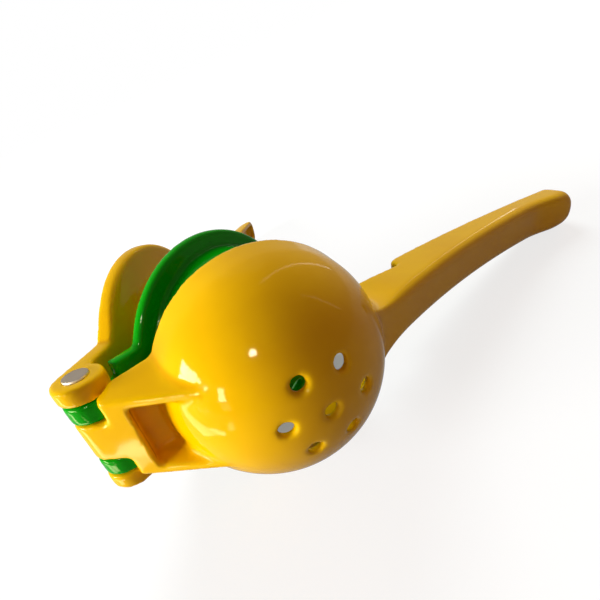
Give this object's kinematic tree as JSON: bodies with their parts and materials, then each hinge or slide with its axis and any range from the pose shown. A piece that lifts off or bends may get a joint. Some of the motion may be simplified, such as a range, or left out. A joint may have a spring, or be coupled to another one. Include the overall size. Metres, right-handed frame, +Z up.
{
  "type": "hinged citrus squeezer",
  "caption": "Hinged hand-held citrus squeezer: nested strainer bowls in two sizes and a domed press on one rivet, with two channel-shaped handles.",
  "frame": {"origin": "on the ground, below the middle of the bounding box, with the squeezer lying on its side as it rests", "axes": "+X along the lemon lever's handle, away from the hinge; +Z up; the bowls bulge towards -Y and the press lever opens towards +Y"},
  "size_m": [0.2238, 0.2172, 0.0751],
  "materials": {
    "yellow_enamel": "glossy baked enamel over cast aluminium",
    "green_enamel": "glossy baked enamel over cast aluminium",
    "rivet_steel": "plain flat-headed steel rivet"
  },
  "bodies": {
    "lemon_body": {"lemon_lever": "yellow_enamel"},
    "insert_body": {"lime_insert": "green_enamel"},
    "press_body": {"press_lever": "yellow_enamel", "hinge_pin": "rivet_steel"}
  },
  "joints": [
    {"name": "insert_hinge", "type": "hinge", "parent": "lemon_body", "child": "insert_body", "pos_m": [-0.10175, -0.06938, 0.04803], "axis": [0.1855, 0.1033, 0.9772], "range_deg": [-26, 64]},
    {"name": "press_hinge", "type": "hinge", "parent": "insert_body", "child": "press_body", "pos_m": [-0.10175, -0.06938, 0.04803], "axis": [0.1855, 0.1033, 0.9772], "range_deg": [-24.4, 64]}
  ]
}
